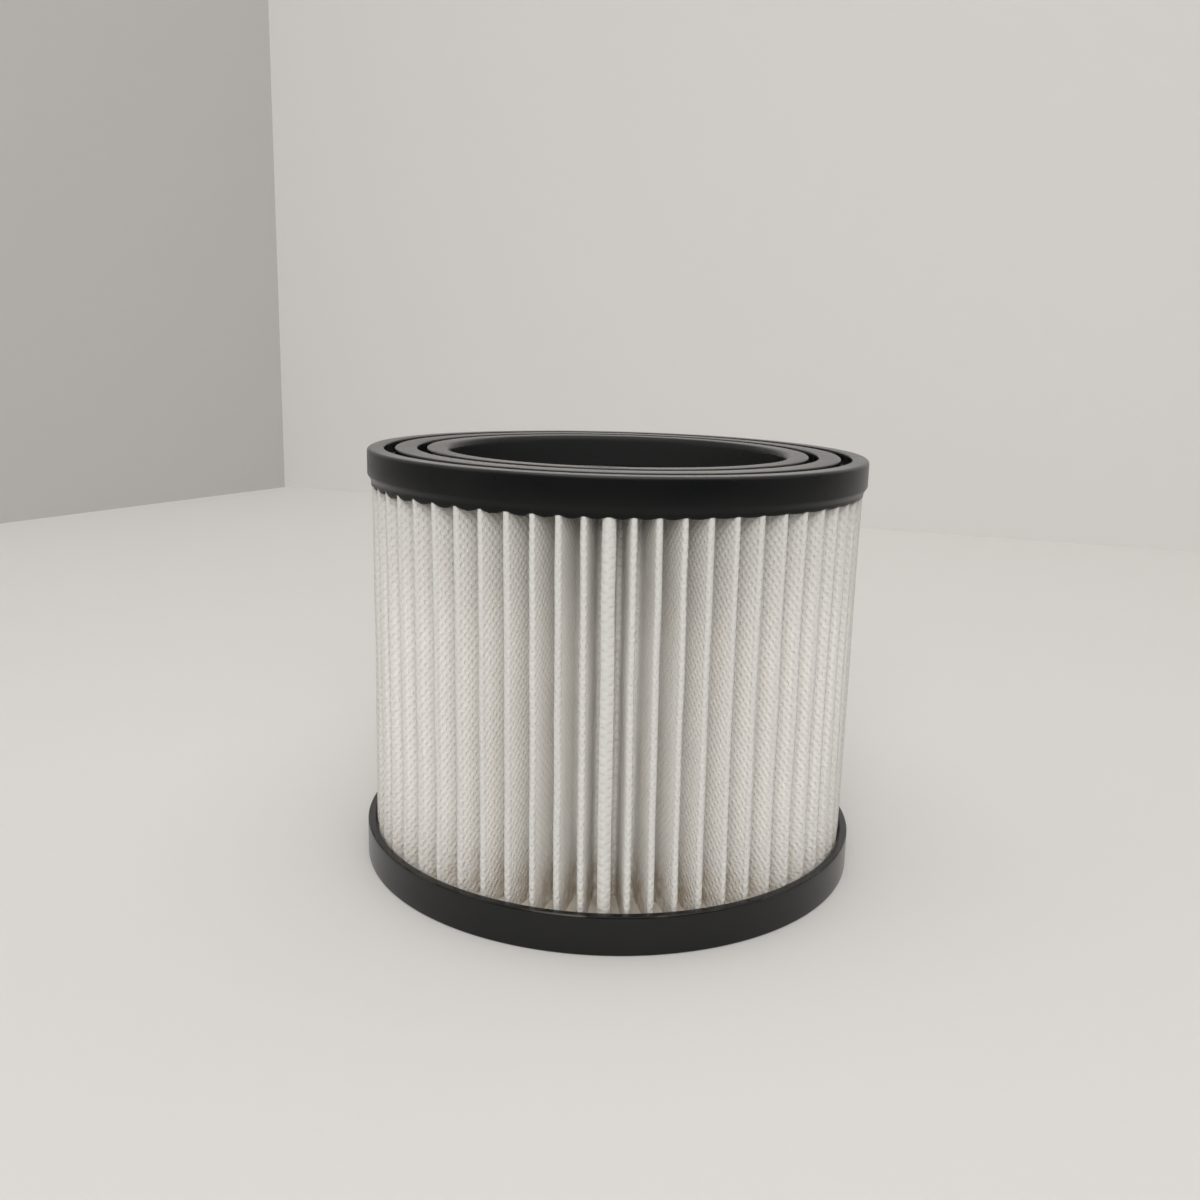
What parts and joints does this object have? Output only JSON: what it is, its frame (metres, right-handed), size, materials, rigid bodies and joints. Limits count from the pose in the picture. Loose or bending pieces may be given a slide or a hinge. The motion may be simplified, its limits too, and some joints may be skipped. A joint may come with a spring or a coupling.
{
  "type": "pleated cartridge filter",
  "caption": "Upright pleated cartridge filter for an ash vacuum: white pleated cloth between a soft black ring with a round opening and a closed black dish.",
  "frame": {"origin": "centre of the flat base that the filter stands on", "axes": "+Z along the filter's axis, from the closed dish up to the open sealing face; the pleat seam faces -Y"},
  "size_m": [0.143, 0.143, 0.118],
  "materials": {
    "soft_black_moulding": "satin",
    "filter_cloth": "embossed matte",
    "black_plastic": "matte",
    "dish_moulding": "satin",
    "tan_adhesive": "dull gloss"
  },
  "bodies": {
    "root": {"top_end_ring": "soft_black_moulding", "pleated_media": "filter_cloth", "support_core": "black_plastic", "bottom_dish": "dish_moulding", "potting_adhesive": "tan_adhesive"}
  },
  "joints": []
}
